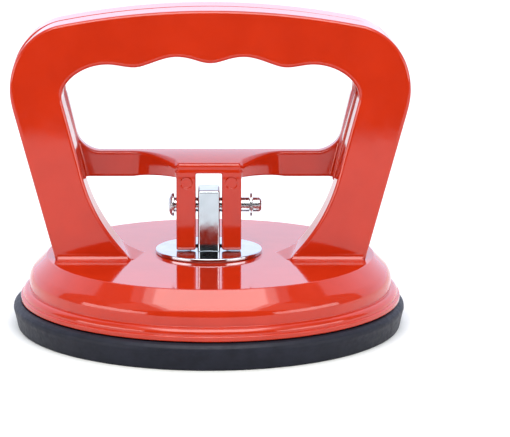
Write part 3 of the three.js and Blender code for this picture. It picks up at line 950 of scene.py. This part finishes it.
handle_low = (BODY_LOW[0], HANDLE_FRONT - FOOT_FILLET, BASE_TOP + HANDLE_ROOT)
handle_high = (BODY_HIGH[0], HANDLE_BACK + FOOT_FILLET, BODY_HIGH[2])
handle = cast("body_casting_handle", make_fixed_handle_field(), handle_low, handle_high, CASTING_STEP, 0.5)
fit(handle, "body_casting", "base", paint)
fit(make_base_shell(), "body_casting", "base", paint)
lever = cast("lever_handle_painted", make_lever_field(), LEVER_LOW, LEVER_HIGH, CASTING_STEP, 0.5)
fit(lever, "lever_handle", "lever", paint)
stud = cast("eye_stud_plated", stud_field, STUD_LOW, STUD_HIGH, STUD_STEP, 0.6)
fit(stud, "eye_stud", "stud", stud_chrome)
fit(make_washer(), "wear_washer", "base", washer_chrome)
fit(make_pin(), "pivot_pin", "stud", zinc)
fit(make_clip(), "pin_clip", "stud", zinc)
let_web_flex(fit(make_pad(), "suction_pad", None, rubber))

plate = frame["nodes"]["insert_plate"]
for material_slot in plate.material_slots:
    material_slot.material = make_steel()


# ---------------------------------------------------------------- studio

def make_floor():
    half = 4.0
    bm = bmesh.new()
    corners = [(-half, -half, 0), (half, -half, 0), (half, half, 0), (-half, half, 0)]
    bm.faces.new([bm.verts.new(corner) for corner in corners])
    mesh = bpy.data.meshes.new("floor")
    bm.to_mesh(mesh)
    bm.free()
    mesh.materials.append(make_floor_finish())
    floor = bpy.data.objects.new("floor", mesh)
    bpy.context.scene.collection.objects.link(floor)


def add_softbox(name, place, size, power, only_gloss=False):
    """A rectangular light that faces the middle of the object. One that is only for gloss adds a reflection
    and lights nothing else."""
    light = bpy.data.lights.new(name, "AREA")
    light.shape = "RECTANGLE"
    light.size, light.size_y = size
    light.energy = power
    lamp = bpy.data.objects.new(name, light)
    lamp.location = place
    lamp.rotation_euler = (Vector((0, 0, 0.05)) - Vector(place)).to_track_quat("-Z", "Y").to_euler()
    lamp.visible_diffuse = not only_gloss
    lamp.visible_camera = False
    bpy.context.scene.collection.objects.link(lamp)


def make_flag(name, level, corners):
    """A card of one grey level that is seen only in reflections, so that the gloss doesn't wash out."""
    bm = bmesh.new()
    bm.faces.new([bm.verts.new(corner) for corner in corners])
    mesh = bpy.data.meshes.new(name)
    bm.to_mesh(mesh)
    bm.free()
    card = Finish(name, specular_ior_level=0.0)
    card.colours(card.noise(80, 2), srgb(level, level, level), srgb(level + 8, level + 8, level + 8))
    mesh.materials.append(card.material)
    flag = bpy.data.objects.new(name, mesh)
    flag.visible_camera = flag.visible_diffuse = flag.visible_shadow = False
    bpy.context.scene.collection.objects.link(flag)


def make_flags():
    """One card on the floor in front, one standing behind the camera and one at each side."""
    dark, grey = 16, 110
    near, far, half, lift = -0.33, -3.5, 3.5, 0.004
    on_floor = [(-half, far, lift), (half, far, lift), (half, near, lift), (-half, near, lift)]
    make_flag("floor_flag", dark, on_floor)
    back, reach, top = -1.1, 1.3, 0.78
    upright = [(-reach, back, lift), (reach, back, lift), (reach, back, top), (-reach, back, top)]
    make_flag("front_flag", dark, upright)
    front, back, low, top = -0.40, 0.30, 0.01, 1.7
    for x, name in ((-1.0, "left_flag"), (1.0, "right_flag")):
        make_flag(name, grey, [(x, front, low), (x, back, low), (x, back, top), (x, front, top)])


def make_world(front_colour, back_colour):
    """A pale room, brighter and cooler behind the object than in front of it."""
    world = bpy.data.worlds.new("studio")
    world.use_nodes = True
    tree = world.node_tree
    background = tree.nodes["Background"]
    place = tree.nodes.new("ShaderNodeTexCoord")
    parts = tree.nodes.new("ShaderNodeSeparateXYZ")
    ranged = tree.nodes.new("ShaderNodeMapRange")
    mix = tree.nodes.new("ShaderNodeMix")
    mix.data_type = "RGBA"
    all_front, all_back = -0.3, 0.6
    ranged.inputs["From Min"].default_value = all_front
    ranged.inputs["From Max"].default_value = all_back
    mix.inputs[6].default_value = front_colour + (1,)
    mix.inputs[7].default_value = back_colour + (1,)
    tree.links.new(place.outputs["Generated"], parts.inputs["Vector"])
    tree.links.new(parts.outputs["Y"], ranged.inputs["Value"])
    tree.links.new(ranged.outputs["Result"], mix.inputs["Factor"])
    tree.links.new(mix.outputs[2], background.inputs["Color"])
    bpy.context.scene.world = world


def add_camera():
    """A camera at the photograph's viewing angle."""
    lens = bpy.data.cameras.new("camera")
    lens.lens = 167.62
    lens.sensor_width = 36
    lens.shift_x = 0.0876
    lens.clip_start, lens.clip_end = 0.01, 20
    camera = bpy.data.objects.new("camera", lens)
    camera.location = (0, -0.7, 0.17685)
    camera.rotation_euler = (math.radians(78.2824), 0, 0)
    bpy.context.scene.collection.objects.link(camera)
    bpy.context.scene.camera = camera


make_floor()
make_flags()
make_world((0.78, 0.76, 0.74), (1.3, 1.4, 1.75))
add_softbox("overhead", (0.0, -0.65, 1.25), (1.5, 1.3), 14)
add_softbox("highlight", (0.0, -0.64, 1.22), (1.2, 1.2), 16, only_gloss=True)
for side, name in ((-1, "left_strip"), (1, "right_strip")):
    add_softbox(name, (0.78 * side, -0.42, 0.16), (0.75, 0.25), 2.4, only_gloss=True)
add_camera()
bpy.context.scene.view_settings.view_transform = "Standard"
